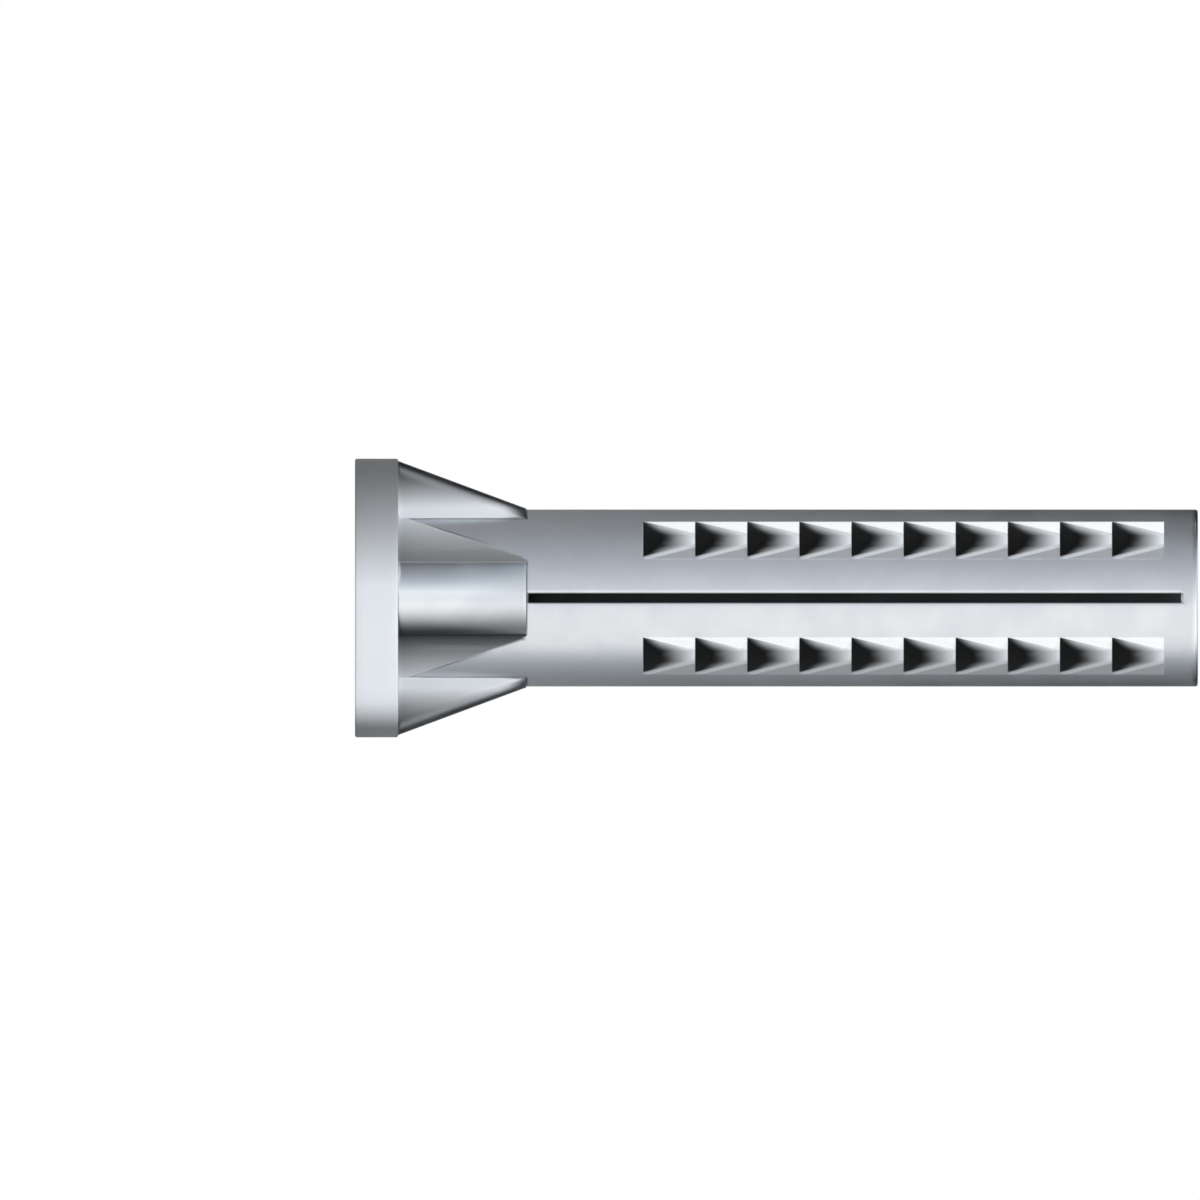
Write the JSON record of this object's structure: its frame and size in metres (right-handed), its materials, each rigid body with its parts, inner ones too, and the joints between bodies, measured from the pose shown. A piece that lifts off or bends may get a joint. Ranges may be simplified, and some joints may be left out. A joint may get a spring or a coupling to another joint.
{
  "type": "lead screw anchor",
  "caption": "Flanged cast lead sleeve with gussets, a lengthwise slit and rows of barbs, tapped into a drilled hole so that a wood screw spreads it.",
  "frame": {"origin": "centre of the flange's outer face, on the bore's axis, which is also the bottom centre of the box", "axes": "+Z along the bore from the flange to the tip; -Y towards the slit, the side that the drawing's side view shows; +X towards a plain gusset on the mould's parting plane"},
  "size_m": [0.0126, 0.0126, 0.0381],
  "materials": {
    "cast_lead": "satin"
  },
  "bodies": {
    "root": {"anchor_sleeve": "cast_lead"}
  },
  "joints": []
}
